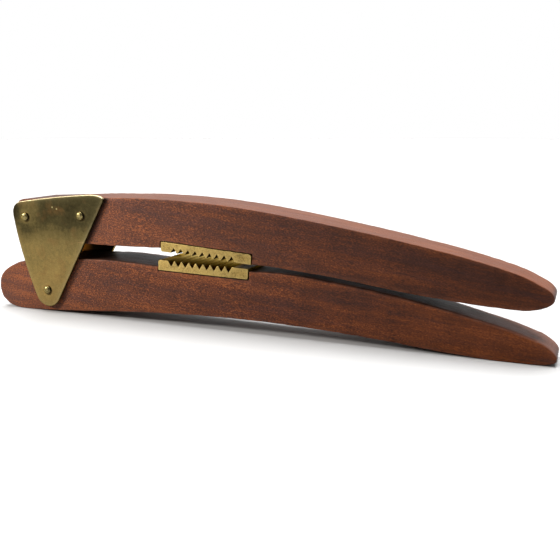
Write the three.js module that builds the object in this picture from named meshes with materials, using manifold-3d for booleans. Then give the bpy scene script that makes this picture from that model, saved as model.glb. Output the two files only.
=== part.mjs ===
// A hand-held lever cracker: two curved hardwood levers, one above the other, joined at the heel
// by a pair of triangular brass plates, with a toothed brass jaw let into each lever.
//
// Millimetres. +X runs from the hinge (heel) to the handle tips, +Y goes across the levers from
// the front face to the back face, +Z is up. The tool stands on the lower lever's underside, and
// the origin is on that surface, below the middle of the whole tool.

import * as THREE from 'three';
import { mergeVertices } from 'three/addons/utils/BufferGeometryUtils.js';
import Module from 'manifold-3d';

const wasm = await Module();
wasm.setup();

// ---------------------------------------------------------------- driving dimensions

const HEEL_HALF_WIDTH = 11;
const TIP_HALF_WIDTH = 7;
const TAPER_START_X = -50;
const TIP_X = 115;
const LEVER_EASING = 0.5;

const PLATE_THICKNESS = 1.5;
const PLATE_GAP = 0.2;
const PLATE_EASING = 0.3;
const BACK_PLATE_DROP = 1.8;
const PLATE_INNER_Y = HEEL_HALF_WIDTH + PLATE_GAP;
const PLATE_OUTER_Y = PLATE_INNER_Y + PLATE_THICKNESS;

const PIVOT = { x: -87.7, z: 9.8 };
const HEEL_FIXING = { x: -97, z: 40.4 };
const INNER_FIXING = { x: -68.7, z: 42 };

const SHANK_RADIUS = 1.2;
const HEAD_RADIUS = 1.75;
const HEAD_HEIGHT = 1.1;
const HEAD_RIM_SHARE = 0.2;
const HEAD_SEAT_GAP = 0.1;
const PLATE_HOLE_RADIUS = 1.45;
const LEVER_BORE_RADIUS = 1.5;

const JAW_LENGTH = 38.6;
const JAW_CORNER_RADIUS = 1;
const JAW_GAP = 0.3;
const TOOTH_COUNT = 9;
const TOOTH_PITCH = 3.1;
const FIRST_TOOTH_AT = 5.8;
const TOOTH_HALF_ANGLE = THREE.MathUtils.degToRad(32.5);

// Each jaw is placed by the heel end of its backing edge, the edge that lies against the wood.
const UPPER_JAW = {
  heel: { x: -32.4, z: 33.4 },
  tilt: THREE.MathUtils.degToRad(-4.1),
  thickness: 3.9,
  toothDepth: 2.05,
};
const LOWER_JAW = {
  heel: { x: -34, z: 22 },
  tilt: THREE.MathUtils.degToRad(-1.5),
  thickness: 4.15,
  toothDepth: 2.15,
};

const PIN_RADIUS = 0.8;
const PIN_HEAD_RADIUS = 1.5;
const PIN_HEAD_DEPTH = 1;
const PIN_LENGTH = 11;
const PIN_CLEARANCE = 0.3;
const PIN_SINK = 0.15;
const PIN_STATIONS = { heel: 2.3, tip: 35.6 };

const THROUGH_CUT = 44;
const SAME_POINT = 1e-4;
const BEVEL_STEPS = 2;
const CURVE_STEPS = 7;
const STEPS_PER_STATION = 3;
const ROUND_STEPS = 16;

// ---------------------------------------------------------------- materials

const HARDWOOD = { color: 0x7d4634, roughness: 0.55, metalness: 0 };
const PLATE_BRASS = { color: 0x93804a, roughness: 0.38, metalness: 1 };
const JAW_BRASS = { color: 0xc2a75c, roughness: 0.45, metalness: 1 };
const PIN_BRASS = { color: 0xa8914f, roughness: 0.35, metalness: 1 };

// ---------------------------------------------------------------- solids and cuts

function toSolid(geometry) {
  const bare = geometry.index ? geometry.toNonIndexed() : geometry.clone();
  bare.deleteAttribute('normal');
  bare.deleteAttribute('uv');
  const merged = mergeVertices(bare, SAME_POINT);
  return new wasm.Manifold(new wasm.Mesh({
    numProp: 3,
    vertProperties: Float32Array.from(merged.attributes.position.array),
    triVerts: Uint32Array.from(merged.index.array),
  }));
}

function toGeometry(solid) {
  const mesh = solid.getMesh();
  const geometry = new THREE.BufferGeometry();
  geometry.setAttribute('position', new THREE.BufferAttribute(mesh.vertProperties, 3));
  geometry.setIndex(new THREE.BufferAttribute(mesh.triVerts, 1));
  geometry.computeVertexNormals();
  return geometry;
}

function cutAway(geometry, cutters) {
  let solid = toSolid(geometry);
  for (const cutter of cutters) {
    solid = solid.subtract(toSolid(cutter));
  }
  return toGeometry(solid);
}

// A side outline drawn in (x, z), made into a body of the given width centred on y = 0.
function extrudeAcross(outline, width, easing = 0) {
  const geometry = new THREE.ExtrudeGeometry(outline, {
    depth: width - 2 * easing,
    curveSegments: CURVE_STEPS,
    bevelEnabled: easing > 0,
    bevelThickness: easing,
    bevelSize: easing,
    bevelOffset: -easing,
    bevelSegments: BEVEL_STEPS,
  });
  geometry.rotateX(Math.PI / 2);
  geometry.translate(0, width / 2 - easing, 0);
  return geometry;
}

// A round hole or bore straight across, at a place in the side view.
function crossBore(place, radius) {
  return new THREE.CylinderGeometry(radius, radius, THROUGH_CUT, ROUND_STEPS).translate(place.x, 0, place.z);
}

// ---------------------------------------------------------------- the handles' taper

function widthFactor(x) {
  const along = (x - TAPER_START_X) / (TIP_X - TAPER_START_X);
  return THREE.MathUtils.lerp(1, TIP_HALF_WIDTH / HEEL_HALF_WIDTH, along);
}

function squeezeSides(geometry) {
  const position = geometry.attributes.position;
  for (let i = 0; i < position.count; i += 1) {
    position.setY(i, position.getY(i) * widthFactor(position.getX(i)));
  }
  return geometry;
}

// The heel keeps its full width, and both side faces draw in evenly from TAPER_START_X to the tip.
function taperHandle(geometry) {
  const reach = 2 * TIP_X;
  const whole = toSolid(geometry);
  const beyond = new THREE.BoxGeometry(reach, reach, reach).translate(TAPER_START_X + reach / 2, 0, 0);
  const heelPart = whole.subtract(toSolid(beyond));
  const handlePart = whole.intersect(toSolid(beyond));
  return toGeometry(heelPart.add(toSolid(squeezeSides(toGeometry(handlePart)))));
}

// ---------------------------------------------------------------- lever outlines

// Carries the outline on through a row of stations, as one smooth curve from where it stands.
function curveThrough(shape, stations) {
  const knots = stations.map(([x, z]) => new THREE.Vector2(x, z));
  const curve = new THREE.SplineCurve([shape.currentPoint.clone(), ...knots]);
  for (const point of curve.getPoints(STEPS_PER_STATION * stations.length).slice(1)) {
    shape.lineTo(point.x, point.y);
  }
}

function upperLeverOutline() {
  const shape = new THREE.Shape();
  shape.moveTo(-98, 30.3);
  shape.quadraticCurveTo(-100.4, 30.3, -100.9, 32.6);
  shape.lineTo(-102.6, 41.5);
  shape.quadraticCurveTo(-103.6, 47.1, -99, 47.6);
  curveThrough(shape, [[-90, 48.05], [-80, 48.6], [-69, 49.3], [-59, 49.65], [-48, 49.9]]);
  curveThrough(shape, [[-37, 50], [-15, 49.35], [8, 47.3], [31, 44.2]]);
  curveThrough(shape, [[54, 40.5], [76, 36.4], [92, 32.8], [102, 29.9], [108.5, 27]]);
  shape.bezierCurveTo(115.2, 23.9, 115.3, 19.3, 103.5, 17.95);
  curveThrough(shape, [[92, 18.35], [80, 19.25], [66, 20.6], [53, 22.3], [39, 24.1], [25, 25.5]]);
  curveThrough(shape, [[14, 26.4], [6.4, 26.8]]);
  shape.lineTo(-33, 30.7);
  shape.lineTo(-55, 30.3);
  shape.closePath();
  return shape;
}

function lowerLeverOutline() {
  const shape = new THREE.Shape();
  shape.moveTo(-104, 0);
  shape.bezierCurveTo(-111.6, 0.2, -115.3, 3.8, -115.3, 8.6);
  shape.bezierCurveTo(-115.3, 14.3, -112.2, 16.8, -104, 20.3);
  curveThrough(shape, [[-96, 22], [-84, 23.2], [-71, 23.9], [-58, 24.4], [-46, 24], [-34, 23.4]]);
  shape.lineTo(4.9, 24.2);
  curveThrough(shape, [[15, 24.4], [26, 23.9], [39, 22.4], [53, 20.7], [67, 18.3], [80, 15.75]]);
  curveThrough(shape, [[90, 13.45], [99.5, 11.15], [108.4, 8.3]]);
  shape.bezierCurveTo(114.4, 5.8, 120.1, 0, 108, 0);
  shape.lineTo(94, 0);
  curveThrough(shape, [[80, 0.8], [67, 1.9], [54, 3], [27, 4.6], [0, 5.2], [-27, 4.6]]);
  curveThrough(shape, [[-50, 3.4], [-74, 1.5], [-87, 0.6], [-98, 0]]);
  shape.closePath();
  return shape;
}

// ---------------------------------------------------------------- jaws, their pockets and pins

// A jaw's side outline in its own frame: x along the backing edge, y from it towards the teeth.
function jawOutline(jaw) {
  const halfTooth = jaw.toothDepth * Math.tan(TOOTH_HALF_ANGLE);
  const bite = jaw.thickness;
  const shape = new THREE.Shape();
  shape.moveTo(0, 0);
  shape.lineTo(0, bite - JAW_CORNER_RADIUS);
  shape.quadraticCurveTo(0, bite, JAW_CORNER_RADIUS, bite);
  for (let i = 0; i < TOOTH_COUNT; i += 1) {
    const centre = FIRST_TOOTH_AT + i * TOOTH_PITCH;
    shape.lineTo(centre - halfTooth, bite);
    shape.lineTo(centre, bite - jaw.toothDepth);
    shape.lineTo(centre + halfTooth, bite);
  }
  shape.lineTo(JAW_LENGTH, bite);
  shape.lineTo(JAW_LENGTH, JAW_CORNER_RADIUS);
  shape.quadraticCurveTo(JAW_LENGTH, 0, JAW_LENGTH - JAW_CORNER_RADIUS, 0);
  shape.closePath();
  return shape;
}

// Sets geometry drawn in a jaw's own frame into place, teeth up or teeth down.
function placeAtJaw(geometry, jaw, teethUp) {
  if (!teethUp) {
    geometry.rotateX(Math.PI);
  }
  geometry.rotateY(-jaw.tilt);
  return geometry.translate(jaw.heel.x, 0, jaw.heel.z);
}

// The pocket has room all round the jaw and is open at the mouth and on both faces.
function jawPocket(jaw, teethUp) {
  const openDepth = 3 * jaw.thickness;
  const pocket = new THREE.BoxGeometry(JAW_LENGTH + 2 * JAW_GAP, THROUGH_CUT, openDepth);
  pocket.translate(JAW_LENGTH / 2, 0, openDepth / 2 - JAW_GAP);
  return placeAtJaw(pocket, jaw, teethUp);
}

// A pin's profile, head down on the axis at height 0, grown by the clearance for its hole.
function pinProfile(grow) {
  const tip = PIN_LENGTH + grow;
  return [
    new THREE.Vector2(0, -grow),
    new THREE.Vector2(PIN_HEAD_RADIUS + grow, -grow),
    new THREE.Vector2(PIN_RADIUS + grow, PIN_HEAD_DEPTH),
    new THREE.Vector2(PIN_RADIUS + grow, tip - PIN_RADIUS),
    new THREE.Vector2(0, tip),
  ];
}

// A pin stands square to the jaw, its countersunk head just below the plain end of the toothed face.
function jawPin(jaw, teethUp, station, grow = 0) {
  const geometry = new THREE.LatheGeometry(pinProfile(grow), ROUND_STEPS);
  geometry.rotateX(-Math.PI / 2);
  geometry.translate(station, 0, jaw.thickness - PIN_SINK);
  return placeAtJaw(geometry, jaw, teethUp);
}

function pinHoles(jaw, teethUp) {
  return Object.values(PIN_STATIONS).map((station) => jawPin(jaw, teethUp, station, PIN_CLEARANCE));
}

function jawBar(jaw, teethUp) {
  const bar = extrudeAcross(jawOutline(jaw), 2 * HEEL_HALF_WIDTH);
  const placed = squeezeSides(placeAtJaw(bar, jaw, teethUp));
  return cutAway(placed, pinHoles(jaw, teethUp));
}

// ---------------------------------------------------------------- levers

function upperLever() {
  const blank = taperHandle(extrudeAcross(upperLeverOutline(), 2 * HEEL_HALF_WIDTH, LEVER_EASING));
  return cutAway(blank, [
    jawPocket(UPPER_JAW, false),
    ...pinHoles(UPPER_JAW, false),
    crossBore(HEEL_FIXING, LEVER_BORE_RADIUS),
    crossBore(INNER_FIXING, LEVER_BORE_RADIUS),
  ]);
}

function lowerLever() {
  const blank = taperHandle(extrudeAcross(lowerLeverOutline(), 2 * HEEL_HALF_WIDTH, LEVER_EASING));
  return cutAway(blank, [
    jawPocket(LOWER_JAW, true),
    ...pinHoles(LOWER_JAW, true),
    crossBore(PIVOT, LEVER_BORE_RADIUS),
  ]);
}

// ---------------------------------------------------------------- hinge plates and rivets

// A triangle standing on its rounded point, its top edge following the lever's crown.
function plateOutline(topDrop) {
  const shape = new THREE.Shape();
  const foot = { x: -87.7, z: 8.9, radius: 6.3 };
  const leftSlope = THREE.MathUtils.degToRad(202);
  const rightSlope = THREE.MathUtils.degToRad(-30);
  shape.absarc(foot.x, foot.z, foot.radius, leftSlope, 2 * Math.PI + rightSlope, false);
  shape.lineTo(-57.8, 47.7 - topDrop);
  shape.quadraticCurveTo(-56.9, 49.3 - topDrop, -58.4, 49.95 - topDrop);
  shape.quadraticCurveTo(-60, 50.75 - topDrop, -63.5, 50.7 - topDrop);
  shape.quadraticCurveTo(-81, 49.5 - topDrop, -98.5, 46.8 - topDrop);
  shape.quadraticCurveTo(-103.9, 46.1 - topDrop, -103.5, 40.8);
  shape.quadraticCurveTo(-101.1, 24.9, foot.x + foot.radius * Math.cos(leftSlope),
    foot.z + foot.radius * Math.sin(leftSlope));
  return shape;
}

function hingePlate(side, topDrop) {
  const plate = extrudeAcross(plateOutline(topDrop), PLATE_THICKNESS, PLATE_EASING);
  plate.translate(0, side * (PLATE_INNER_Y + PLATE_THICKNESS / 2), 0);
  const rivetPlaces = [PIVOT, HEEL_FIXING, INNER_FIXING];
  return cutAway(plate, rivetPlaces.map((place) => crossBore(place, PLATE_HOLE_RADIUS)));
}

// A plain shank across both plates, peened into a low dome outside each of them.
function rivet(place) {
  const seat = PLATE_OUTER_Y + HEAD_SEAT_GAP;
  const top = seat + HEAD_HEIGHT;
  const rim = seat + HEAD_RIM_SHARE * HEAD_HEIGHT;
  const profile = new THREE.Path();
  profile.moveTo(0, -top);
  profile.quadraticCurveTo(HEAD_RADIUS, -top, HEAD_RADIUS, -rim);
  profile.lineTo(HEAD_RADIUS, -seat);
  profile.lineTo(SHANK_RADIUS, -seat);
  profile.lineTo(SHANK_RADIUS, seat);
  profile.lineTo(HEAD_RADIUS, seat);
  profile.lineTo(HEAD_RADIUS, rim);
  profile.quadraticCurveTo(HEAD_RADIUS, top, 0, top);
  const turned = new THREE.LatheGeometry(profile.getPoints(CURVE_STEPS), ROUND_STEPS);
  return turned.translate(place.x, 0, place.z);
}

// ---------------------------------------------------------------- assembly

function piece(name, geometry, finish) {
  const mesh = new THREE.Mesh(geometry, new THREE.MeshStandardMaterial(finish));
  mesh.name = name;
  return mesh;
}

const lowerArm = new THREE.Group();
lowerArm.add(piece('lower_lever', lowerLever(), HARDWOOD));
lowerArm.add(piece('lower_jaw', jawBar(LOWER_JAW, true), JAW_BRASS));
lowerArm.add(piece('lower_jaw_heel_pin', jawPin(LOWER_JAW, true, PIN_STATIONS.heel), PIN_BRASS));
lowerArm.add(piece('lower_jaw_tip_pin', jawPin(LOWER_JAW, true, PIN_STATIONS.tip), PIN_BRASS));
lowerArm.add(piece('pivot_rivet', rivet(PIVOT), PIN_BRASS));

const upperArm = new THREE.Group();
upperArm.add(piece('upper_lever', upperLever(), HARDWOOD));
upperArm.add(piece('upper_jaw', jawBar(UPPER_JAW, false), JAW_BRASS));
upperArm.add(piece('upper_jaw_heel_pin', jawPin(UPPER_JAW, false, PIN_STATIONS.heel), PIN_BRASS));
upperArm.add(piece('upper_jaw_tip_pin', jawPin(UPPER_JAW, false, PIN_STATIONS.tip), PIN_BRASS));
upperArm.add(piece('front_hinge_plate', hingePlate(-1, 0), PLATE_BRASS));
upperArm.add(piece('back_hinge_plate', hingePlate(1, BACK_PLATE_DROP), PLATE_BRASS));
upperArm.add(piece('heel_fixing_rivet', rivet(HEEL_FIXING), PIN_BRASS));
upperArm.add(piece('inner_fixing_rivet', rivet(INNER_FIXING), PIN_BRASS));

const cracker = new THREE.Group();
cracker.add(lowerArm, upperArm);

export default cracker;
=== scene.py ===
"""Looks of a vintage wood and brass lever nutcracker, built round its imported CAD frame.

The scene is in metres in the CAD frame: +X from the hinge to the handle tips, +Y from the front
face to the back face, +Z up. Outlines and sizes are written in millimetres, and MM scales them
where each mesh is made.
"""

import math

import bmesh
import bpy
import numpy as np
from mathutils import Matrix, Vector, noise
from mathutils.geometry import delaunay_2d_cdt


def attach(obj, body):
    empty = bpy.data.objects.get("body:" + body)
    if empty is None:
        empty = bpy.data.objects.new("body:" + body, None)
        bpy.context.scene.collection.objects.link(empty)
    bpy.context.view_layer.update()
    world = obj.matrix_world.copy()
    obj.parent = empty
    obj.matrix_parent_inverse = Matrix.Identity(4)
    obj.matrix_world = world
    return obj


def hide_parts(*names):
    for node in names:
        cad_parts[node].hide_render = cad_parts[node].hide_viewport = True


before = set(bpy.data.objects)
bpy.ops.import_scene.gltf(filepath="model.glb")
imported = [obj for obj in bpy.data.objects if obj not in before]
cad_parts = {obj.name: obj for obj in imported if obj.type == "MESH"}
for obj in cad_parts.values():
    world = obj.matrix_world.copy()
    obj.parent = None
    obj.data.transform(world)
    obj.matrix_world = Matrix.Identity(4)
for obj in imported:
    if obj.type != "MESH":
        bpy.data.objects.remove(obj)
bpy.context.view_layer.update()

MM = 0.001

# ---------------------------------------------------------------- dimensions, millimetres

HEEL_HALF_WIDTH = 11
TIP_HALF_WIDTH = 7
TAPER_START_X = -50
TIP_X = 115

PLATE_INNER_Y = 11.2
PLATE_THICKNESS = 1.5
BACK_PLATE_DROP = 1.8

PIVOT = (-87.7, 9.8)
HEEL_FIXING = (-97, 40.4)
INNER_FIXING = (-68.7, 42)
RIVETS = (PIVOT, HEEL_FIXING, INNER_FIXING)

SHANK_RADIUS = 1.2
HEAD_RADIUS = 1.75
HEAD_HEIGHT = 1.1
HEAD_RIM_SHARE = 0.2
HEAD_UNDERCUT = 0.08
HEAD_SEAT_GAP = 0.1
HEAD_LUMP = 0.05
HEAD_LUMP_SIZE = 0.9
PLATE_HOLE_RADIUS = 1.45
LEVER_BORE_RADIUS = 1.5

JAW_LENGTH = 38.6
JAW_CORNER_RADIUS = 1
JAW_GAP = 0.3
TOOTH_COUNT = 9
TOOTH_PITCH = 3.1
FIRST_TOOTH_AT = 5.8
TOOTH_HALF_ANGLE = math.radians(32.5)

UPPER_JAW = {"heel": (-32.4, 33.4), "tilt": math.radians(-4.1), "thickness": 3.9, "depth": 2.05, "up": -1}
LOWER_JAW = {"heel": (-34, 22), "tilt": math.radians(-1.5), "thickness": 4.15, "depth": 2.15, "up": 1}

PIN_RADIUS = 0.8
PIN_HEAD_RADIUS = 1.5
PIN_HEAD_DEPTH = 1
PIN_CHAMFER_WIDTH = 0.12
PIN_CHAMFER_DEPTH = 0.1
PIN_LENGTH = 11
PIN_CLEARANCE = 0.3
PIN_SINK = 0.15
PIN_STATIONS = {"heel": 2.3, "tip": 35.6}

LEVER_EASING = 0.5
GRIP_EASING = 1.3
TOE_EASING = 0.8
POCKET_EASING = 0.12
PLATE_EASING = 0.35
JAW_EASING = 0.12
WEAR_REACH = 1.6


def line_distance(start, end):
    """Numbers a, b, c for which a x + b z + c is how far (x, z) lies to the right of a line going up."""
    length = math.dist(start, end)
    a, b = (end[1] - start[1]) / length, (start[0] - end[0]) / length
    return a, b, -a * start[0] - b * start[1]


PLATE_EDGE = line_distance((-82.2, 5.8), (-57.8, 47.7))


def half_width(x):
    """Half the width of a lever at x: full to TAPER_START_X, then drawing in evenly to the tip."""
    along = max(0.0, (x - TAPER_START_X) / (TIP_X - TAPER_START_X))
    return HEEL_HALF_WIDTH + (TIP_HALF_WIDTH - HEEL_HALF_WIDTH) * along


# ---------------------------------------------------------------- mesh fineness


HOLE_STEPS = 32
TURN_STEPS = 40
CUTTER_STEPS = 48
DOME_STEPS = 8
CRISP_ANGLE = math.radians(38)
MITRE_LIMIT = 0.6

HOLE_CLEARANCE = 2.2
SAME_POINT = 1e-4
FILL_TOLERANCE = 1e-6
ON_AXIS = 1e-9
WELD_METRES = 1e-8


# ---------------------------------------------------------------- outlines


class Outline:
    """A closed side outline in (x, z), drawn like a pen path, with the edge rounding at each point."""

    def __init__(self, x, z, easing, spacing=1.0):
        self.points = [Vector((x, z))]
        self.easings = [easing]
        self.easing = easing
        self.spacing = spacing

    def add(self, points):
        for point in points:
            if (point - self.points[-1]).length > SAME_POINT:
                self.points.append(point)
                self.easings.append(self.easing)

    def steps_for(self, corners):
        length = sum((b - a).length for a, b in zip(corners, corners[1:]))
        return max(1, math.ceil(length / self.spacing))

    def line(self, x, z):
        start, end = self.points[-1], Vector((x, z))
        steps = self.steps_for([start, end])
        self.add([start.lerp(end, i / steps) for i in range(1, steps + 1)])

    def quad(self, cx, cz, x, z):
        a, b, c = self.points[-1], Vector((cx, cz)), Vector((x, z))
        steps = 2 * self.steps_for([a, b, c])
        for i in range(1, steps + 1):
            t = i / steps
            self.add([a.lerp(b, t).lerp(b.lerp(c, t), t)])

    def cubic(self, cx, cz, dx, dz, x, z):
        a, b, c, d = self.points[-1], Vector((cx, cz)), Vector((dx, dz)), Vector((x, z))
        steps = 2 * self.steps_for([a, b, c, d])
        for i in range(1, steps + 1):
            t = i / steps
            ab, bc, cd = a.lerp(b, t), b.lerp(c, t), c.lerp(d, t)
            self.add([ab.lerp(bc, t).lerp(bc.lerp(cd, t), t)])

    def through(self, *stations, ease_to=None):
        """One smooth curve from where the pen stands, through each station in turn.

        With ease_to, the edge rounding grows evenly to that size over the first half of the curve.
        """
        first = len(self.points)
        knots = [self.points[-1]] + [Vector(station) for station in stations]
        for k in range(len(knots) - 1):
            before, a, b, after = (knots[min(max(k + j, 0), len(knots) - 1)] for j in (-1, 0, 1, 2))
            tangent_a, tangent_b = (b - before) / 2, (after - a) / 2
            steps = self.steps_for([a, b])
            for i in range(1, steps + 1):
                t = i / steps
                bend = (2 * a - 2 * b + tangent_a + tangent_b) * t ** 3
                self.add([bend + (3 * b - 3 * a - 2 * tangent_a - tangent_b) * t * t + tangent_a * t + a])
        if ease_to is not None:
            added = len(self.points) - first
            for i in range(added):
                share = min(1.0, 2 * (i + 1) / added)
                self.easings[first + i] += (ease_to - self.easing) * share
            self.easing = ease_to

    def arc(self, cx, cz, radius, start, end):
        steps = max(6, math.ceil(radius * abs(end - start) / self.spacing) * 2)
        for i in range(steps + 1):
            angle = start + (end - start) * i / steps
            self.add([Vector((cx + radius * math.cos(angle), cz + radius * math.sin(angle)))])

    def close(self):
        self.line(*self.points[0])
        self.points.pop()
        self.easings.pop()
        return self


def at_jaw(jaw, along, out):
    """A place in a jaw's own frame, along its backing edge and out towards the teeth, as (x, z)."""
    cos, sin = math.cos(jaw["tilt"]), math.sin(jaw["tilt"])
    rise = jaw["up"] * out
    return jaw["heel"][0] + along * cos - rise * sin, jaw["heel"][1] + along * sin + rise * cos


def pocket_mouth(jaw, along, z):
    """Where a pocket's end wall, at along, meets the lever's face at the level z."""
    return at_jaw(jaw, along, (z - at_jaw(jaw, along, 0)[1]) / (jaw["up"] * math.cos(jaw["tilt"])))


def pocket(outline, jaw, entry, leave, leave_z):
    """Carries the outline from a pocket's mouth down one end wall, along its floor and out again."""
    outline.easing = POCKET_EASING
    outline.line(*at_jaw(jaw, entry, -JAW_GAP))
    outline.line(*at_jaw(jaw, leave, -JAW_GAP))
    outline.easing = LEVER_EASING
    outline.line(*pocket_mouth(jaw, leave, leave_z))


def upper_lever_outline():
    o = Outline(-98, 30.3, LEVER_EASING)
    o.quad(-100.4, 30.3, -100.9, 32.6)
    o.line(-102.6, 41.5)
    o.quad(-103.6, 47.1, -99, 47.6)
    o.through((-90, 48.05), (-80, 48.6), (-69, 49.3), (-59, 49.65), (-48, 49.9))
    o.through((-37, 50), (-15, 49.35), (8, 47.3), (31, 44.2))
    o.through((54, 40.5), (76, 36.4), (92, 32.8), (102, 29.9), (108.5, 27))
    o.cubic(115.2, 23.9, 115.3, 19.3, 103.5, 17.95)
    o.through((92, 18.35), (80, 19.25), (66, 20.6), (53, 22.3), (39, 24.1), (25, 25.5))
    heel_end, tip_end = -JAW_GAP, JAW_LENGTH + JAW_GAP
    o.through((14, 26.4), pocket_mouth(UPPER_JAW, tip_end, 26.83))
    pocket(o, UPPER_JAW, tip_end, heel_end, 30.68)
    o.line(-55, 30.3)
    return o.close()


def lower_lever_outline():
    o = Outline(-104, 0, LEVER_EASING)
    o.cubic(-111.6, 0.2, -115.3, 3.8, -115.3, 8.6)
    o.cubic(-115.3, 14.3, -112.2, 16.8, -104, 20.3)
    heel_end, tip_end = -JAW_GAP, JAW_LENGTH + JAW_GAP
    o.through((-96, 22), (-84, 23.2), (-71, 23.9), (-58, 24.4), (-46, 24))
    o.through(pocket_mouth(LOWER_JAW, heel_end, 23.42))
    pocket(o, LOWER_JAW, heel_end, tip_end, 24.2)
    o.through((15, 24.4), (26, 23.9), (39, 22.4), (53, 20.7), (67, 18.3), (80, 15.75), ease_to=GRIP_EASING)
    o.through((90, 13.45), (99.5, 11.15), (108.4, 8.3))
    o.easing = TOE_EASING
    o.cubic(114.4, 5.8, 120.1, 0, 108, 0)
    o.easing = LEVER_EASING
    o.line(94, 0)
    o.through((80, 0.8), (67, 1.9), (54, 3), (27, 4.6), (0, 5.2), (-27, 4.6))
    o.through((-50, 3.4), (-74, 1.5), (-87, 0.6), (-98, 0))
    return o.close()


def plate_outline(top_drop):
    foot_x, foot_z, radius = -87.7, 8.9, 6.3
    left, right = math.radians(202), math.radians(330)
    o = Outline(foot_x + radius * math.cos(left), foot_z + radius * math.sin(left), PLATE_EASING, 0.8)
    start = tuple(o.points[0])
    o.arc(foot_x, foot_z, radius, left, right)
    o.line(-57.8, 47.7 - top_drop)
    o.quad(-56.9, 49.3 - top_drop, -58.4, 49.95 - top_drop)
    o.quad(-60, 50.75 - top_drop, -63.5, 50.7 - top_drop)
    o.quad(-81, 49.5 - top_drop, -98.5, 46.8 - top_drop)
    o.quad(-103.9, 46.1 - top_drop, -103.5, 40.8)
    o.quad(-101.1, 24.9, *start)
    return o.close()


def jaw_outline(jaw):
    half_tooth = jaw["depth"] * math.tan(TOOTH_HALF_ANGLE)
    bite = jaw["thickness"]
    o = Outline(0, 0, JAW_EASING, 0.6)
    o.line(0, bite - JAW_CORNER_RADIUS)
    o.quad(0, bite, JAW_CORNER_RADIUS, bite)
    for i in range(TOOTH_COUNT):
        centre = FIRST_TOOTH_AT + i * TOOTH_PITCH
        o.line(centre - half_tooth, bite)
        o.line(centre, bite - jaw["depth"])
        o.line(centre + half_tooth, bite)
    o.line(JAW_LENGTH, bite)
    o.line(JAW_LENGTH, JAW_CORNER_RADIUS)
    o.quad(JAW_LENGTH, 0, JAW_LENGTH - JAW_CORNER_RADIUS, 0)
    o.close()
    o.points = [Vector(at_jaw(jaw, *p)) for p in o.points]
    return o


# ---------------------------------------------------------------- solids from outlines


def signed_area(points):
    return sum(a.x * b.y - b.x * a.y for a, b in zip(points, points[1:] + points[:1])) / 2


def inward_offsets(points):
    """The mitred inward direction at each point of a closed outline that runs anticlockwise."""
    offsets = []
    for i, here in enumerate(points):
        a = (here - points[i - 1]).normalized()
        b = (points[(i + 1) % len(points)] - here).normalized()
        normal_a, normal_b = Vector((-a.y, a.x)), Vector((-b.y, b.x))
        middle = (normal_a + normal_b).normalized()
        offsets.append(middle / max(MITRE_LIMIT, middle.dot(normal_a)))
    return offsets


def distances_to(outline, places):
    """How far each place lies from a closed outline."""
    nearest = np.full(len(places), np.inf)
    for a, b in zip(outline, outline[1:] + outline[:1]):
        along = np.array(b - a)
        share = np.clip((places - np.array(a)) @ along / (along @ along), 0, 1)
        gap = places - np.array(a) - share[:, None] * along
        nearest = np.minimum(nearest, np.hypot(gap[:, 0], gap[:, 1]))
    return nearest


def inside(outline, places):
    """Whether each place lies inside a closed outline, by counting the edges to its right."""
    within = np.zeros(len(places), bool)
    x, z = places[:, 0], places[:, 1]
    for a, b in zip(outline, outline[1:] + outline[:1]):
        if a.y != b.y:
            crosses = (a.y > z) != (b.y > z)
            within ^= crosses & (x < a.x + (z - a.y) * (b.x - a.x) / (b.y - a.y))
    return within


def circle(place, radius, steps):
    turn = 2 * math.pi / steps
    return [Vector((place[0] + radius * math.cos(i * turn), place[1] + radius * math.sin(i * turn)))
            for i in range(steps)]


def grid_places(rim, grid):
    """Places in staggered rows that cover an outline's box."""
    low_x, high_x = min(p.x for p in rim), max(p.x for p in rim)
    low_z, high_z = min(p.y for p in rim), max(p.y for p in rim)
    rows = range(math.ceil((high_z - low_z) / grid))
    columns = range(math.ceil((high_x - low_x) / grid))
    return [(low_x + (i + 0.5 * (j % 2)) * grid, low_z + j * grid) for i in columns for j in rows]


def side_triangles(rim, holes, grid, edge_rows):
    """Fills one side face: its points, and triangles that count the rim first, then each hole."""
    points = list(rim)
    edges = [(i, (i + 1) % len(rim)) for i in range(len(rim))]
    centres = [sum(hole, Vector((0, 0))) / len(hole) for hole in holes]
    for hole in holes:
        first = len(points)
        points += hole
        edges += [(first + i, first + (i + 1) % len(hole)) for i in range(len(hole))]
    offsets = inward_offsets(rim)
    for depth in edge_rows:
        row = np.array([rim[i] + offsets[i] * depth for i in range(0, len(rim), 2)])
        clear = inside(rim, row) & (distances_to(rim, row) > 0.9 * depth)
        points += [Vector(place) for place in row[clear]]
    field = np.array(grid_places(rim, grid))
    clear = inside(rim, field) & (distances_to(rim, field) > edge_rows[-1] + 0.5 * grid)
    for centre in centres:
        clear &= np.hypot(field[:, 0] - centre.x, field[:, 1] - centre.y) > HOLE_CLEARANCE
    points += [Vector(place) for place in field[clear]]
    placed, _, faces, origins, _, _ = delaunay_2d_cdt(points, edges, [], 1, FILL_TOLERANCE)
    triangles = []
    for face in faces:
        middle = sum((placed[i] for i in face), Vector((0, 0))) / len(face)
        in_hole = any((middle - centre).length < (hole[0] - centre).length
                      for hole, centre in zip(holes, centres))
        if not in_hole:
            triangles.append([min(origins[i]) for i in face])
    return points, triangles


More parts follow.
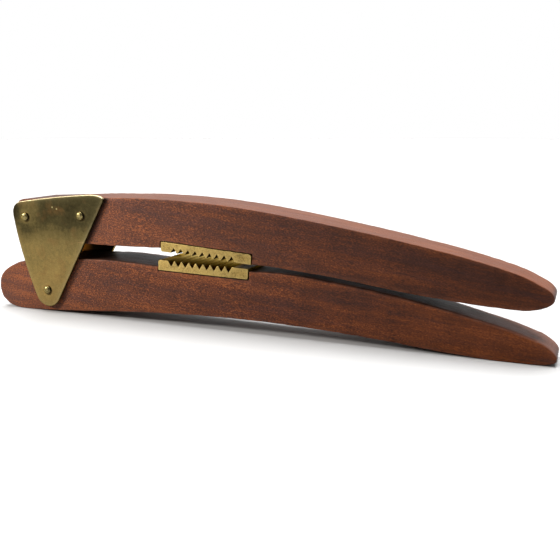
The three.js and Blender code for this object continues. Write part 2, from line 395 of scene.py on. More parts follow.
def slab(name, outline, width_at, grid, across, edge_rows, holes=(), rounding=4, centre_y=0.0):
    """A closed solid from a side outline: two side faces, rounded edges and a belt all round them."""
    if signed_area(outline.points) < 0:
        outline.points.reverse()
        outline.easings.reverse()
    rim_out = outline.points
    offsets = inward_offsets(rim_out)
    count = len(rim_out)
    inset = [p + o * e for p, o, e in zip(rim_out, offsets, outline.easings)]
    rings = []
    quarter = [math.pi / 2 * q / rounding for q in range(rounding + 1)]
    for side, angles in ((-1, quarter), (1, quarter[::-1])):
        for angle in angles:
            ring = []
            for p, o, e in zip(rim_out, offsets, outline.easings):
                at = p + o * (e * (1 - math.sin(angle)))
                ring.append((at.x, centre_y + side * (width_at(p.x) - e * (1 - math.cos(angle))), at.y))
            rings.append(ring)
        if side < 0:
            for k in range(1, across):
                share = 2 * k / across - 1
                rings.append([(p.x, centre_y + share * (width_at(p.x) - e), p.y)
                              for p, e in zip(rim_out, outline.easings)])
    verts = [v for ring in rings for v in ring]
    faces = []
    for r in range(len(rings) - 1):
        for i in range(count):
            j = (i + 1) % count
            faces.append((r * count + i, r * count + j, (r + 1) * count + j, (r + 1) * count + i))
    hole_loops = [circle((x, z), radius, HOLE_STEPS) for x, z, radius in holes]
    points, triangles = side_triangles(inset, hole_loops, grid, edge_rows)
    index = []
    for side, base in ((-1, 0), (1, (len(rings) - 1) * count)):
        lookup = {}
        for i, p in enumerate(points):
            if i < count:
                lookup[i] = base + i
            else:
                lookup[i] = len(verts)
                verts.append((p.x, centre_y + side * width_at(p.x), p.y))
        index.append(lookup)
        for triangle in triangles:
            corners = [lookup[i] for i in triangle]
            faces.append(corners if side > 0 else corners[::-1])
    first = count
    for loop in hole_loops:
        for i in range(len(loop)):
            a, b = first + i, first + (i + 1) % len(loop)
            faces.append((index[0][a], index[0][b], index[1][b], index[1][a]))
        first += len(loop)
    mesh = bpy.data.meshes.new(name)
    mesh.from_pydata([(x * MM, y * MM, z * MM) for x, y, z in verts], [], faces)
    to_rim = distances_to(rim_out, np.array([(x, z) for x, y, z in verts]))
    to_side = np.array([width_at(x) - abs(y - centre_y) for x, y, z in verts])
    near_both = np.clip(1 - to_rim / WEAR_REACH, 0, 1) * np.clip(1 - to_side / WEAR_REACH, 0, 1)
    mesh.attributes.new("edge_wear", "FLOAT", "POINT").data.foreach_set("value", near_both)
    return finish_mesh(name, mesh)


def finish_mesh(name, mesh):
    """Orients and smooths a mesh, keeps its real corners crisp, and puts it in the scene."""
    work = bmesh.new()
    work.from_mesh(mesh)
    bmesh.ops.remove_doubles(work, verts=work.verts, dist=WELD_METRES)
    bmesh.ops.recalc_face_normals(work, faces=work.faces)
    work.to_mesh(mesh)
    work.free()
    mesh.shade_smooth()
    mesh.set_sharp_from_angle(angle=CRISP_ANGLE)
    obj = bpy.data.objects.new(name, mesh)
    bpy.context.scene.collection.objects.link(obj)
    return obj


def roughen(obj, depth, size, edge_depth, edge_size, seed):
    """Hand finish and wear as real shape: every point moves inwards by up to depth, more along edges."""
    mesh = obj.data
    wear = [item.value for item in mesh.attributes["edge_wear"].data]
    shift = Vector((seed, seed * 0.7, -seed))
    moved = []
    for vertex, near in zip(mesh.vertices, wear):
        at = vertex.co / MM
        swell = 0.5 + 0.5 * noise.noise(at / size + shift)
        knock = max(0.0, noise.noise(at / edge_size - shift)) * near
        moved.append(vertex.co - vertex.normal * ((depth * swell + edge_depth * knock) * MM))
    for vertex, co in zip(mesh.vertices, moved):
        vertex.co = co
    mesh.update()


def lathe(name, profile, steps=TURN_STEPS):
    """A closed solid turned about +Z from an (r, height) profile that starts and ends on the axis."""
    verts, faces = [], []
    rows = []
    for radius, height in profile:
        if radius < ON_AXIS:
            rows.append([len(verts)])
            verts.append((0, 0, height * MM))
            continue
        rows.append(range(len(verts), len(verts) + steps))
        for i in range(steps):
            turn = 2 * math.pi * i / steps
            verts.append((radius * MM * math.cos(turn), radius * MM * math.sin(turn), height * MM))
    for low, high in zip(rows, rows[1:]):
        for i in range(steps):
            j = (i + 1) % steps
            corners = [low[i % len(low)], low[j % len(low)], high[j % len(high)], high[i % len(high)]]
            faces.append(list(dict.fromkeys(corners)))
    mesh = bpy.data.meshes.new(name)
    mesh.from_pydata(verts, [], faces)
    return finish_mesh(name, mesh)


def place_pin(obj, jaw, station):
    """Stands a pin square to its jaw, head towards the teeth and just below the plain land."""
    head_x, head_z = at_jaw(jaw, station, jaw["thickness"] - PIN_SINK)
    into_x, into_z = at_jaw(jaw, station, jaw["thickness"] - PIN_SINK - 1)
    down = Vector((into_x - head_x, 0, into_z - head_z)).normalized()
    turn = Vector((0, 0, 1)).rotation_difference(down).to_matrix().to_4x4()
    obj.data.transform(turn)
    for vertex in obj.data.vertices:
        vertex.co += Vector((head_x * MM, 0, head_z * MM))
    obj.data.update()


def pin_profile(grow=0.0):
    """A pin's (r, height) profile from its head down, grown all round for the cutter of its hole."""
    head, shank, tip = PIN_HEAD_RADIUS + grow, PIN_RADIUS + grow, PIN_LENGTH + grow
    return [(0, -grow), (head - PIN_CHAMFER_WIDTH, -grow), (head, PIN_CHAMFER_DEPTH - grow),
            (shank, PIN_HEAD_DEPTH), (shank, tip - PIN_RADIUS), (0, tip)]


def drill(obj, cutters):
    """Cuts each cutter out of obj for good, and takes the cutters away."""
    for cutter in cutters:
        cut = obj.modifiers.new("cut", "BOOLEAN")
        cut.operation = "DIFFERENCE"
        cut.solver = "EXACT"
        cut.object = cutter
    bpy.context.view_layer.update()
    graph = bpy.context.evaluated_depsgraph_get()
    mesh = bpy.data.meshes.new_from_object(obj.evaluated_get(graph), depsgraph=graph)
    obj.modifiers.clear()
    obj.data = mesh
    for cutter in cutters:
        bpy.data.objects.remove(cutter)


# ---------------------------------------------------------------- material nodes


def srgb(r, g, b):
    """A colour from screen values 0 to 255, as linear light."""
    linear = [(c / 255 / 12.92) if c <= 10 else ((c / 255 + 0.055) / 1.055) ** 2.4 for c in (r, g, b)]
    return (*linear, 1.0)


GOLDEN_GLANCE = srgb(214, 184, 116)


class Finish:
    """One material's node tree, with short names for the nodes that it is built from."""

    def __init__(self, name):
        self.material = bpy.data.materials.new(name)
        self.material.use_nodes = True
        self.tree = self.material.node_tree
        self.tree.nodes.clear()
        self.shader = self.tree.nodes.new("ShaderNodeBsdfPrincipled")
        output = self.tree.nodes.new("ShaderNodeOutputMaterial")
        self.tree.links.new(self.shader.outputs[0], output.inputs[0])

    def put(self, socket, value):
        if isinstance(value, bpy.types.NodeSocket):
            self.tree.links.new(value, socket)
        elif value is not None:
            socket.default_value = value

    def math(self, operation, a, b=None, c=None, clamp=False):
        node = self.tree.nodes.new("ShaderNodeMath")
        node.operation = operation
        node.use_clamp = clamp
        for socket, value in zip(node.inputs, (a, b, c)):
            self.put(socket, value)
        return node.outputs[0]

    def millimetres(self, shift=(0, 0, 0)):
        """The place on the object at rest, in millimetres, moved by shift to vary the pattern."""
        coordinates = self.tree.nodes.new("ShaderNodeTexCoord")
        node = self.tree.nodes.new("ShaderNodeVectorMath")
        node.operation = "MULTIPLY_ADD"
        self.put(node.inputs[0], coordinates.outputs["Object"])
        self.put(node.inputs[1], (1 / MM, 1 / MM, 1 / MM))
        self.put(node.inputs[2], shift)
        return node.outputs[0]

    def split(self, vector):
        node = self.tree.nodes.new("ShaderNodeSeparateXYZ")
        self.put(node.inputs[0], vector)
        return node.outputs

    def join(self, x, y, z):
        node = self.tree.nodes.new("ShaderNodeCombineXYZ")
        for socket, value in zip(node.inputs, (x, y, z)):
            self.put(socket, value)
        return node.outputs[0]

    def facing(self):
        """The outward normal in the object's own axes, so that it turns with the part."""
        return self.split(self.tree.nodes.new("ShaderNodeTexCoord").outputs["Normal"])

    def attribute(self, name):
        node = self.tree.nodes.new("ShaderNodeAttribute")
        node.attribute_name = name
        return node.outputs["Fac"]

    def noise(self, vector, size, detail=2.0, roughness=0.5, distortion=0.0):
        """Noise from 0 to 1 whose features are about size millimetres along x, y and z."""
        stretch = self.tree.nodes.new("ShaderNodeVectorMath")
        stretch.operation = "DIVIDE"
        self.put(stretch.inputs[0], vector)
        self.put(stretch.inputs[1], size if isinstance(size, tuple) else (size, size, size))
        node = self.tree.nodes.new("ShaderNodeTexNoise")
        self.put(node.inputs["Vector"], stretch.outputs[0])
        self.put(node.inputs["Scale"], 1.0)
        self.put(node.inputs["Detail"], detail)
        self.put(node.inputs["Roughness"], roughness)
        self.put(node.inputs["Distortion"], distortion)
        return node.outputs["Fac"]

    def remap(self, value, low, high, to_low=0.0, to_high=1.0, smooth=False):
        node = self.tree.nodes.new("ShaderNodeMapRange")
        node.interpolation_type = "SMOOTHSTEP" if smooth else "LINEAR"
        for socket, number in zip(node.inputs, (value, low, high, to_low, to_high)):
            self.put(socket, number)
        return node.outputs[0]

    def ramp(self, value, *stops):
        node = self.tree.nodes.new("ShaderNodeValToRGB")
        elements = node.color_ramp.elements
        while len(elements) < len(stops):
            elements.new(0.5)
        for element, (position, colour) in zip(elements, stops):
            element.position = position
            element.color = colour
        self.put(node.inputs[0], value)
        return node.outputs[0]

    def mix(self, share, a, b):
        node = self.tree.nodes.new("ShaderNodeMix")
        node.data_type = "RGBA"
        self.put(node.inputs["Factor"], share)
        self.put(node.inputs[6], a)
        self.put(node.inputs[7], b)
        return node.outputs[2]

    def dim(self, colour, amount):
        """The colour times a number."""
        node = self.tree.nodes.new("ShaderNodeVectorMath")
        node.operation = "SCALE"
        self.put(node.inputs[0], colour)
        self.put(node.inputs["Scale"], amount)
        return node.outputs[0]

    def bump(self, height, depth_mm, normal=None):
        node = self.tree.nodes.new("ShaderNodeBump")
        self.put(node.inputs["Strength"], 1.0)
        self.put(node.inputs["Distance"], depth_mm * MM)
        self.put(node.inputs["Height"], height)
        self.put(node.inputs["Normal"], normal)
        return node.outputs[0]

    def finish(self, colour, roughness, normal, **levels):
        self.put(self.shader.inputs["Base Color"], colour)
        self.put(self.shader.inputs["Roughness"], roughness)
        self.put(self.shader.inputs["Normal"], normal)
        for name, value in levels.items():
            self.put(self.shader.inputs[name.replace("_", " ")], value)
        return self.material


def hardwood(name, shift, slope, heel_painted_haze, painted_tip_shade, painted_top_tones, crown_turn, plate_painted_shadow):
    """Reddish-brown open-grained hardwood: dark and orange bands, streaks, fine flecks and pores.

    The grain falls by slope towards the tip, and is most open by the inner edge of the plates. A
    painted haze of light makes the wood paler towards the heel, by the given heel haze, and painted
    shade dims it to the given tip shade at the tip. Its top face takes painted light and shade: it
    goes from the first two painted top tones to the last two between the two places in crown_turn,
    with painted shade on the top of the heel. A painted shadow of the plates lies along their inner
    edge, as dark as the given plate shadow.
    """
    f = Finish(name)
    x, y, z = f.split(f.millimetres())
    level = f.math("MULTIPLY_ADD", x, slope, z)
    grain = f.join(f.math("ADD", x, shift[0]), f.math("ADD", y, shift[1]), f.math("ADD", level, shift[2]))
    bands = f.noise(grain, (60, 7, 5.0), 3, 0.5, 0.4)
    streaks = f.noise(grain, (14, 1.4, 0.8), 3, 0.65, 0.4)
    flecks = f.noise(grain, (0.75, 0.5, 0.34), 2, 0.65)
    hues = f.noise(grain, (34, 5, 3.6), 3, 0.7, 0.8)
    pores = f.noise(grain, (2.2, 0.4, 0.26), 1, 0.5)
    figure = f.noise(grain, (8, 60, 26), 2, 0.5, 0.6)
    open_grain = f.math("MINIMUM", f.remap(x, -115.0, -70.0, 0.7, 1.15), f.remap(x, -70.0, 90.0, 1.15, 0.3))

    tone = f.math("ADD", f.math("MULTIPLY", bands, 0.66), f.math("MULTIPLY_ADD", streaks, 0.30, 0.02))
    fleck = f.math("MULTIPLY", f.math("SUBTRACT", flecks, 0.5), open_grain)
    tone = f.math("MULTIPLY_ADD", fleck, 1.3, tone)
    colour = f.ramp(tone, (0.30, srgb(52, 28, 20)), (0.44, srgb(69, 35, 20)),
                    (0.56, srgb(88, 44, 21)), (0.72, srgb(120, 64, 29)))
    colour = f.mix(f.remap(hues, 0.50, 0.72, 0.0, 0.35), colour, srgb(112, 57, 23))
    colour = f.mix(f.remap(hues, 0.50, 0.32, 0.0, 0.42), colour, srgb(58, 35, 33))
    colour = f.dim(colour, f.math("MULTIPLY_ADD", fleck, 2.3, 1.0))
    pore = f.remap(pores, 0.60, 0.72)
    colour = f.mix(f.math("MULTIPLY", pore, 0.5), colour, srgb(34, 18, 15))
    colour = f.dim(colour, f.remap(figure, 0.3, 0.7, 0.88, 1.12))
    # Painted haze of light: the wood is paler towards the heel.
    colour = f.mix(f.remap(x, -115.0, 100.0, heel_painted_haze, 0.0), colour, srgb(179, 134, 119))

    # Painted light and shade on the top face: lit tones on the upper lever, shaded tones in the throat and
    # lit ones at the tip on the lower lever, and painted shade on the top of the heel.
    up = f.facing()[2]
    crown = f.remap(up, 0.35, 0.9, smooth=True)
    lines = f.noise(grain, (26, 0.8, 40), 3, 0.6, 0.3)
    shade = f.math("ADD", f.math("MULTIPLY", tone, 0.6), f.math("MULTIPLY", lines, 0.4))
    tipward, pale = f.remap(x, *crown_turn), f.remap(shade, 0.38, 0.60)
    at_heel = f.dim(f.mix(pale, painted_top_tones[0], painted_top_tones[1]), f.remap(x, -90.0, -62.0, 0.4, 1.0))
    at_tip = f.mix(pale, painted_top_tones[2], painted_top_tones[3])
    colour = f.mix(f.math("MULTIPLY", crown, 0.9), colour, f.mix(tipward, at_heel, at_tip))
    worn = f.math("MULTIPLY", f.attribute("edge_wear"), f.remap(f.noise(grain, (5, 5, 5), 2), 0.35, 0.6))
    colour = f.mix(f.math("MULTIPLY", worn, 0.3), colour, srgb(140, 84, 58))
    # Painted shade: the wood is darker towards the tip.
    colour = f.dim(colour, f.remap(x, -50.0, 60.0, 1.0, painted_tip_shade))
    # Painted shadow of the plate's edge on the wood beside it, kept off the top face.
    off_plate = f.math("MULTIPLY_ADD", z, PLATE_EDGE[1], PLATE_EDGE[2])
    off_plate = f.math("ABSOLUTE", f.math("MULTIPLY_ADD", x, PLATE_EDGE[0], off_plate))
    painted_edge_shade = f.remap(off_plate, 0.3, 1.6, plate_painted_shadow, 0.0, smooth=True)
    colour = f.mix(f.math("MULTIPLY", painted_edge_shade, f.math("SUBTRACT", 1.0, crown)), colour, srgb(26, 14, 11))

    roughness = f.remap(streaks, 0.3, 0.7, 0.42, 0.56)
    roughness = f.math("SUBTRACT", roughness, f.math("MULTIPLY", worn, 0.08))
    normal = f.bump(f.math("SUBTRACT", f.math("MULTIPLY", flecks, 0.7), pore), 0.04)
    normal = f.bump(streaks, 0.05, normal)
    return f.finish(colour, roughness, normal, Specular_IOR_Level=0.11)


def closeness(f, x, z, place, near, far):
    """1 within near millimetres of a place on the side face, falling to 0 at far."""
    off_x, off_z = f.math("SUBTRACT", x, place[0]), f.math("SUBTRACT", z, place[1])
    reach = f.math("SQRT", f.math("ADD", f.math("MULTIPLY", off_x, off_x), f.math("MULTIPLY", off_z, off_z)))
    return f.remap(reach, near, far, 1.0, 0.0, smooth=True)


def plate_brass(name, shift, inner, marked):
    """Aged sheet brass: mottled olive patina, golden below, with painted dark reflection across the top
    and along the heel edge, painted shade under each rivet, a painted highlight on the top edge, and
    painted shade on its inner face, brown by the heel and black beyond.

    inner is the sign of the Y direction that the inner face looks to. A marked plate has a dark
    patch, a rubbed corner, two nicks and a scuff of its own.
    """
    f = Finish(name)
    x, _, z = f.split(f.millimetres())
    moved = f.millimetres(shift)
    clouds = f.noise(moved, 9.0, 4, 0.6)
    mottle = f.noise(moved, 1.4, 3, 0.65)
    grains = f.noise(moved, 0.35, 2, 0.6)
    rubs = f.noise(moved, (6, 6, 0.35), 3, 0.7, 1.2)
    heel_side = f.math("ADD", x, f.math("MULTIPLY_ADD", z, -0.285, 114.7))

    # Patina with painted dark reflection: darker towards the top and along the heel edge, golden below.
    patina_and_reflection = f.remap(z, 28.5, 42.0, 0.3, 0.85, smooth=True)
    patina_and_reflection = f.math("ADD", patina_and_reflection, f.remap(z, 6.0, 30.0, -0.25, 0.0))
    patina_and_reflection = f.math("ADD", patina_and_reflection, f.remap(heel_side, 0.0, 4.5, 0.4, 0.0, smooth=True))
    if marked:
        patina_and_reflection = f.math("MULTIPLY_ADD", closeness(f, x, z, (-97.5, 34.0), 1.0, 6.0), 0.2, patina_and_reflection)
        patina_and_reflection = f.math("MULTIPLY_ADD", closeness(f, x, z, (-95.0, 43.0), 3.0, 9.0), -0.3, patina_and_reflection)
    for rivet in RIVETS:
        patina_and_reflection = f.math("MULTIPLY_ADD", closeness(f, x, z, rivet, 1.8, 3.6), -0.18, patina_and_reflection)
    patina_and_reflection = f.math("MULTIPLY_ADD", f.math("SUBTRACT", clouds, 0.5), 0.55, patina_and_reflection)
    patina_and_reflection = f.math("MULTIPLY_ADD", f.math("SUBTRACT", mottle, 0.5), 0.5, patina_and_reflection, clamp=True)
    colour = f.ramp(patina_and_reflection, (0.0, srgb(126, 105, 62)), (0.3, srgb(103, 89, 54)),
                    (0.75, srgb(60, 54, 34)), (1.0, srgb(42, 38, 24)))
    colour = f.mix(f.remap(f.noise(moved, 5.0, 2), 0.55, 0.75, 0.0, 0.3), colour, srgb(110, 78, 46))
    colour = f.dim(colour, f.remap(grains, 0.3, 0.7, 0.8, 1.2))
    # Painted shadow of each rivet head, below it and to its right.
    for rivet in RIVETS:
        below = (rivet[0] + 0.45, rivet[1] - 0.4)
        colour = f.mix(f.math("MULTIPLY", closeness(f, x, z, below, 1.6, 2.3), 0.8), colour, srgb(30, 24, 15))
    if marked:
        scuff = closeness(f, f.math("MULTIPLY", x, 0.14), z, (-68.5 * 0.14, 31.0), 0.05, 0.5)
        colour = f.mix(f.math("MULTIPLY", scuff, 0.4), colour, srgb(150, 118, 80))
        for nick in ((-82.6, 44.9), (-80.4, 44.3)):
            near = f.math("MULTIPLY", closeness(f, x, z, nick, 0.1, 0.5), 0.6)
            colour = f.mix(near, colour, srgb(180, 168, 116))
    bright = f.math("MULTIPLY", f.attribute("edge_wear"), f.remap(clouds, 0.35, 0.6, 0.4, 1.0))
    colour = f.mix(f.math("MULTIPLY", bright, 0.22), colour, srgb(180, 166, 118))
    # Painted shade along the heel edge of the plate, fading out towards the foot.
    painted_edge_shade = f.math("MULTIPLY", f.remap(heel_side, 0.4, 1.4, 1.0, 0.0), f.remap(z, 20.0, 32.0))
    colour = f.mix(f.math("MULTIPLY", painted_edge_shade, 0.85), colour, srgb(34, 30, 20))
    # Painted highlight on the upward-facing top edge.
    crest = f.remap(f.facing()[2], 0.15, 0.7, smooth=True)
    colour = f.mix(f.math("MULTIPLY", crest, 0.6), colour, srgb(221, 207, 172))
    # Painted shade on the inner face, with a brown glow of painted light by the heel end.
    inner_shade = f.remap(f.math("MULTIPLY", f.facing()[1], inner), 0.3, 0.8, smooth=True)
    inner_shade_tones = f.mix(f.remap(x, -87.0, -81.5), srgb(116, 70, 20), srgb(26, 18, 9))
    colour = f.mix(inner_shade, colour, inner_shade_tones)

    roughness = f.math("ADD", f.remap(patina_and_reflection, 0.0, 1.0, 0.30, 0.44), f.remap(rubs, 0.3, 0.7, -0.05, 0.08))
    normal = f.bump(clouds, 0.08)
    normal = f.bump(f.math("ADD", rubs, f.math("MULTIPLY", mottle, 0.6)), 0.012, normal)
    return f.finish(colour, roughness, normal, Metallic=1.0, Specular_Tint=GOLDEN_GLANCE)


def cast_brass(name, shift, light, dark, jaw=None, crest_painted_tone=None, grain_size=0.5, depth=0.05, polish=0.34):
    """Yellow cast brass with a granular skin, darker in its pits and brighter at its worn edges. Painted
    light and shade make it brighter at the heel end and darker towards the tip.

    A jaw's teeth get painted shade at their roots and the painted crest tone at their crests, painted
    shade on the upper jaw and painted light on the lower, weaker towards the front face. Painted shade
    covers the plain land beyond them, towards the tip.
    """
    f = Finish(name)
    x, y, z = f.split(f.millimetres())
    moved = f.millimetres(shift)
    clouds = f.noise(moved, 4.0, 3, 0.6)
    pits = f.noise(moved, grain_size, 3, 0.7)
    rubs = f.noise(moved, (3, 0.5, 0.5), 3, 0.6)
    tone = f.math("ADD", f.math("MULTIPLY", clouds, 0.5), f.math("MULTIPLY", pits, 0.5))
    colour = f.ramp(tone, (0.36, dark), (0.52, light), (0.66, light))
    colour = f.dim(colour, f.remap(pits, 0.35, 0.65, 0.86, 1.14))
    # Painted light and shade: brighter at the heel end, darker towards the tip.
    colour = f.dim(colour, f.remap(x, -34.0, 6.0, 1.25, 0.8))
    speck = f.remap(f.noise(moved, 0.8, 2, 0.5), 0.62, 0.7)
    colour = f.mix(f.math("MULTIPLY", speck, 0.5), colour, dark)
    colour = f.mix(f.math("MULTIPLY", f.attribute("edge_wear"), 0.25), colour, srgb(204, 180, 116))
    metal = 1.0
    if jaw:
        # Painted shade at the tooth roots and the painted crest tone at the crests, weaker towards the front
        # face.
        root_painted_shade = srgb(78, 57, 20)
        cos, sin = math.cos(jaw["tilt"]) * jaw["up"], math.sin(jaw["tilt"]) * jaw["up"]
        out = f.math("MULTIPLY_ADD", z, cos, jaw["heel"][0] * sin - jaw["heel"][1] * cos)
        out = f.math("MULTIPLY_ADD", x, -sin, out)
        crest = f.remap(out, jaw["thickness"] - 0.5 * jaw["depth"], jaw["thickness"] - 0.2)
        toothed = f.remap(f.math("ABSOLUTE", f.facing()[1]), 0.8, 0.3)
        toothed = f.math("MULTIPLY", toothed, f.remap(f.math("MULTIPLY", f.facing()[2], jaw["up"]), 0.2, 0.4))
        tooth = f.mix(f.remap(y, -10.0, 1.0, 0.25, 1.0), root_painted_shade, crest_painted_tone)
        tooth = f.mix(crest, root_painted_shade, tooth)
        # Painted shade over the plain land past the teeth, towards the tip.
        past_teeth_shade = f.remap(x, -1.5, 0.5, 0.0, 0.9)
        tooth = f.mix(past_teeth_shade, tooth, srgb(26, 18, 11))
        colour = f.mix(f.math("MULTIPLY", toothed, 0.96), colour, tooth)
        metal = f.math("SUBTRACT", 1.0, f.math("MULTIPLY", past_teeth_shade, toothed))
    roughness = f.remap(rubs, 0.3, 0.7, polish, polish + 0.16)
    normal = f.bump(pits, depth)
    return f.finish(colour, roughness, normal, Metallic=metal, Specular_IOR_Level=0.1,
                    Specular_Tint=GOLDEN_GLANCE)


def pale_floor():
    f = Finish("pale_floor")
    speckle = f.noise(f.millimetres(), 30.0, 2)
    colour = f.mix(speckle, (0.40, 0.40, 0.40, 1), (0.42, 0.42, 0.42, 1))
    return f.finish(colour, 0.7, f.bump(speckle, 0.01), Specular_IOR_Level=0.2)


# ---------------------------------------------------------------- pieces


def show(obj, material, node, body):
    """Gives a finished piece its material, and sets it riding in place of its CAD node."""
    obj.data.materials.clear()
    obj.data.materials.append(material)
    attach(obj, body)
    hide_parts(node)


def make_lever(name, outline, bores, seed):
    holes = [(x, z, LEVER_BORE_RADIUS) for x, z in bores]
    lever = slab(name, outline, half_width, grid=2.2, across=14, edge_rows=(0.45, 1.1), holes=holes)
    roughen(lever, depth=0.1, size=16.0, edge_depth=0.25, edge_size=3.0, seed=seed)
    return lever


def make_plate(name, side, top_drop):
    centre = side * (PLATE_INNER_Y + PLATE_THICKNESS / 2)
    holes = [(x, z, PLATE_HOLE_RADIUS) for x, z in RIVETS]
    plate = slab(name, plate_outline(top_drop), lambda x: PLATE_THICKNESS / 2, grid=1.6, across=4,
                 edge_rows=(0.4, 0.9), holes=holes, centre_y=centre)
    roughen(plate, depth=0.05, size=13.0, edge_depth=0.08, edge_size=2.5, seed=side * 3.0)
    return plate


def make_jaw(name, jaw):
    bar = slab(name, jaw_outline(jaw), half_width, grid=1.2, across=22, edge_rows=(0.3,), rounding=3)
    roughen(bar, depth=0.04, size=2.2, edge_depth=0.1, edge_size=0.9, seed=jaw["thickness"])
    cutters = []
    for station in PIN_STATIONS.values():
        cutter = lathe("pin_hole", pin_profile(PIN_CLEARANCE), CUTTER_STEPS)
        place_pin(cutter, jaw, station)
        cutters.append(cutter)
    drill(bar, cutters)
    return bar


def make_rivet(name, place):
    """A plain shank peened into a low dome outside each plate."""
    seat = PLATE_INNER_Y + PLATE_THICKNESS + HEAD_SEAT_GAP
    rim = seat + HEAD_RIM_SHARE * HEAD_HEIGHT
    dome_height = (1 - HEAD_RIM_SHARE) * HEAD_HEIGHT
    dome = []
    for i in range(DOME_STEPS + 1):
        angle = math.pi / 2 * i / DOME_STEPS
        dome.append((HEAD_RADIUS * math.sin(angle), rim + dome_height * math.cos(angle)))
    half = dome + [(HEAD_RADIUS - HEAD_UNDERCUT, seat), (SHANK_RADIUS, seat)]
    profile = [(r, -h) for r, h in half] + [(r, h) for r, h in reversed(half)]
    rivet = lathe(name, profile)
    for vertex in rivet.data.vertices:
        x, y, z = vertex.co
        at = vertex.co / MM / HEAD_LUMP_SIZE + Vector((place[0], 0, place[1]))
        lump = 1 - HEAD_LUMP * (0.5 + 0.5 * noise.noise(at))
        vertex.co = (x * lump + place[0] * MM, z, y * lump + place[1] * MM)
    rivet.data.flip_normals()
    return rivet


def make_pin(name, jaw, station):
    pin = lathe(name, pin_profile())
    place_pin(pin, jaw, station)
    return pin


def build_object():
    # Painted top-face tones: light and shade on the upper lever, shade in the throat and light at the tip on
    # the lower lever.
    upper_painted_top_tones = (srgb(78, 42, 28), srgb(98, 58, 38), srgb(112, 61, 37), srgb(138, 79, 49))
    lower_painted_top_tones = (srgb(30, 21, 18), srgb(44, 29, 23), srgb(108, 68, 54), srgb(134, 88, 70))
    wood_upper = hardwood("upper_lever_wood", (13.0, 4.0, 3.0), slope=0.13, heel_painted_haze=0.10, painted_tip_shade=0.66,
                          painted_top_tones=upper_painted_top_tones, crown_turn=(-30.0, 105.0), plate_painted_shadow=0.85)
    wood_lower = hardwood("lower_lever_wood", (171.0, 40.0, 9.0), slope=0.10, heel_painted_haze=0.06, painted_tip_shade=0.80,
                          painted_top_tones=lower_painted_top_tones, crown_turn=(74.0, 106.0), plate_painted_shadow=0.3)
    jaw_light, jaw_dark = srgb(150, 126, 72), srgb(92, 72, 38)
    # Crest tones: painted shade on the upper jaw, painted light on the lower.
    upper_jaw_brass = cast_brass("upper_jaw_brass", (3, 0, 0), jaw_light, jaw_dark, UPPER_JAW,
                                 crest_painted_tone=srgb(84, 64, 28))
    lower_jaw_brass = cast_brass("lower_jaw_brass", (31, 7, 2), jaw_light, jaw_dark, LOWER_JAW,
                                 crest_painted_tone=srgb(230, 206, 136))
    rivet_brass = cast_brass("rivet_brass", (5, 1, 9), srgb(122, 110, 72), srgb(64, 55, 32),
                             grain_size=0.7, depth=0.02, polish=0.28)

    show(make_lever("wooden_upper_lever", upper_lever_outline(), (HEEL_FIXING, INNER_FIXING), seed=2.0),
         wood_upper, "upper_lever", "upper_arm")
    show(make_lever("wooden_lower_lever", lower_lever_outline(), (PIVOT,), seed=7.0),
         wood_lower, "lower_lever", "lower_arm")
    front_brass = plate_brass("front_plate_brass", (0, 0, 0), inner=1, marked=True)
    back_brass = plate_brass("back_plate_brass", (40, 9, 17), inner=-1, marked=False)
    show(make_plate("front_plate", -1, 0), front_brass, "front_hinge_plate", "upper_arm")
    show(make_plate("back_plate", 1, BACK_PLATE_DROP), back_brass,
         "back_hinge_plate", "upper_arm")
    show(make_jaw("upper_toothed_jaw", UPPER_JAW), upper_jaw_brass, "upper_jaw", "upper_arm")
    show(make_jaw("lower_toothed_jaw", LOWER_JAW), lower_jaw_brass, "lower_jaw", "lower_arm")
    for name, node, place, body in (("pivot", "pivot_rivet", PIVOT, "lower_arm"),
                                    ("heel_fixing", "heel_fixing_rivet", HEEL_FIXING, "upper_arm"),
                                    ("inner_fixing", "inner_fixing_rivet", INNER_FIXING, "upper_arm")):
        show(make_rivet(name + "_domed_rivet", place), rivet_brass, node, body)
    for side, jaw, body in (("upper", UPPER_JAW, "upper_arm"), ("lower", LOWER_JAW, "lower_arm")):
        for end, station in PIN_STATIONS.items():
            node = f"{side}_jaw_{end}_pin"
            pin = make_pin(node + "_countersunk", jaw, station)
            show(pin, rivet_brass, node, body)


# ---------------------------------------------------------------- floor, light and camera


FLOOR_RINGS = (0.3, 1.0, 2.0, 4.0)
FLOOR_STEPS = 96
FRONT_ROOM_LIGHT = 0.12
BACK_ROOM_LIGHT = 1.1
ROOM_TURN = (0.1, 0.95)

CAMERA_PLACE = (0.12178, -0.25508, 0.07795)
CAMERA_YAW = math.radians(22.97)
CAMERA_PITCH = math.radians(11.85)
LENS_LENGTH = 47.49
SENSOR_WIDTH = 36
NEAREST_SEEN = 0.01


def studio_floor():
    """A round pale floor, wide enough to reach the horizon from every side."""
    verts, faces = [(0, 0, 0)], []
    for radius in FLOOR_RINGS:
        for i in range(FLOOR_STEPS):
            turn = 2 * math.pi * i / FLOOR_STEPS
            verts.append((radius * math.cos(turn), radius * math.sin(turn), 0))
    for i in range(FLOOR_STEPS):
        faces.append((0, 1 + i, 1 + (i + 1) % FLOOR_STEPS))
    for ring in range(len(FLOOR_RINGS) - 1):
        low, high = 1 + ring * FLOOR_STEPS, 1 + (ring + 1) * FLOOR_STEPS
        for i in range(FLOOR_STEPS):
            j = (i + 1) % FLOOR_STEPS
            faces.append((low + i, high + i, high + j, low + j))
    mesh = bpy.data.meshes.new("studio_floor")
    mesh.from_pydata(verts, [], faces)
    floor = bpy.data.objects.new("studio_floor", mesh)
    bpy.context.scene.collection.objects.link(floor)
    mesh.materials.append(pale_floor())


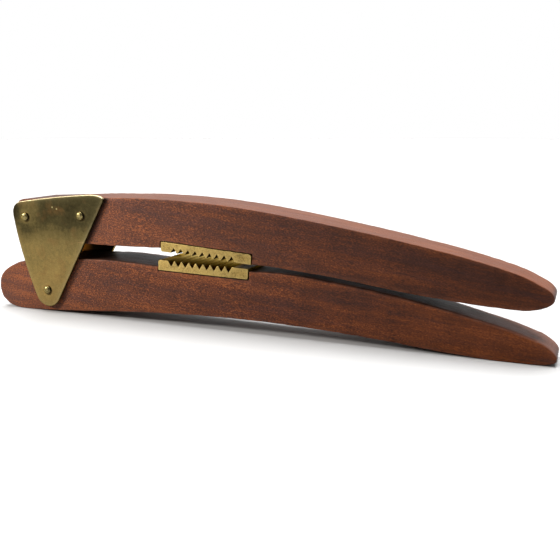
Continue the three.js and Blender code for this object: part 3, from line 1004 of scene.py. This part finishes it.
def sun(name, toward, strength, spread):
    """Even light from the direction toward, softened by its spread in degrees."""
    light = bpy.data.lights.new(name, "SUN")
    light.energy = strength
    light.angle = math.radians(spread)
    obj = bpy.data.objects.new(name, light)
    obj.rotation_euler = Vector(toward).to_track_quat("Z", "Y").to_euler()
    bpy.context.scene.collection.objects.link(obj)


def softbox(name, place, aim, size, power, colour):
    light = bpy.data.lights.new(name, "AREA")
    light.shape = "RECTANGLE"
    light.size, light.size_y = size
    light.energy = power
    light.color = colour
    obj = bpy.data.objects.new(name, light)
    obj.location = place
    obj.rotation_euler = (Vector(aim) - Vector(place)).to_track_quat("-Z", "Y").to_euler()
    bpy.context.scene.collection.objects.link(obj)


def light_studio():
    """A room bright behind the tool and dim before it, a broad light above and a key at the front left."""
    world = bpy.data.worlds.new("studio_world")
    world.use_nodes = True
    tree = world.node_tree
    backdrop = tree.nodes["Background"]
    room = tree.nodes.new("ShaderNodeBackground")
    for background in (backdrop, room):
        background.inputs["Color"].default_value = (1, 1, 1, 1)
    direction = tree.nodes.new("ShaderNodeTexCoord")
    split = tree.nodes.new("ShaderNodeSeparateXYZ")
    towards_back = tree.nodes.new("ShaderNodeMapRange")
    for socket, number in zip(towards_back.inputs[1:], (*ROOM_TURN, FRONT_ROOM_LIGHT, BACK_ROOM_LIGHT)):
        socket.default_value = number
    seen = tree.nodes.new("ShaderNodeLightPath")
    choose = tree.nodes.new("ShaderNodeMixShader")
    tree.links.new(direction.outputs["Generated"], split.inputs[0])
    tree.links.new(split.outputs["Y"], towards_back.inputs[0])
    tree.links.new(towards_back.outputs[0], room.inputs["Strength"])
    tree.links.new(seen.outputs["Is Camera Ray"], choose.inputs[0])
    tree.links.new(room.outputs[0], choose.inputs[1])
    tree.links.new(backdrop.outputs[0], choose.inputs[2])
    tree.links.new(choose.outputs[0], tree.nodes["World Output"].inputs["Surface"])
    bpy.context.scene.world = world
    sun("overhead_light", (-0.1, 0.22, 1.0), strength=8.0, spread=55)
    softbox("key_softbox", place=(-0.46, -0.36, 0.30), aim=(-0.06, 0, 0.02), size=(0.13, 0.13), power=5.0,
            colour=(1, 0.97, 0.93))


def set_camera():
    camera_data = bpy.data.cameras.new("camera")
    camera_data.sensor_width = SENSOR_WIDTH
    camera_data.lens = LENS_LENGTH
    camera_data.clip_start = NEAREST_SEEN
    camera = bpy.data.objects.new("camera", camera_data)
    camera.location = CAMERA_PLACE
    level = math.cos(CAMERA_PITCH)
    ahead = Vector((-math.sin(CAMERA_YAW) * level, math.cos(CAMERA_YAW) * level, -math.sin(CAMERA_PITCH)))
    camera.rotation_euler = ahead.to_track_quat("-Z", "Y").to_euler()
    bpy.context.scene.collection.objects.link(camera)
    bpy.context.scene.camera = camera


set_camera()
studio_floor()
light_studio()
build_object()
bpy.context.scene.view_settings.view_transform = "Standard"
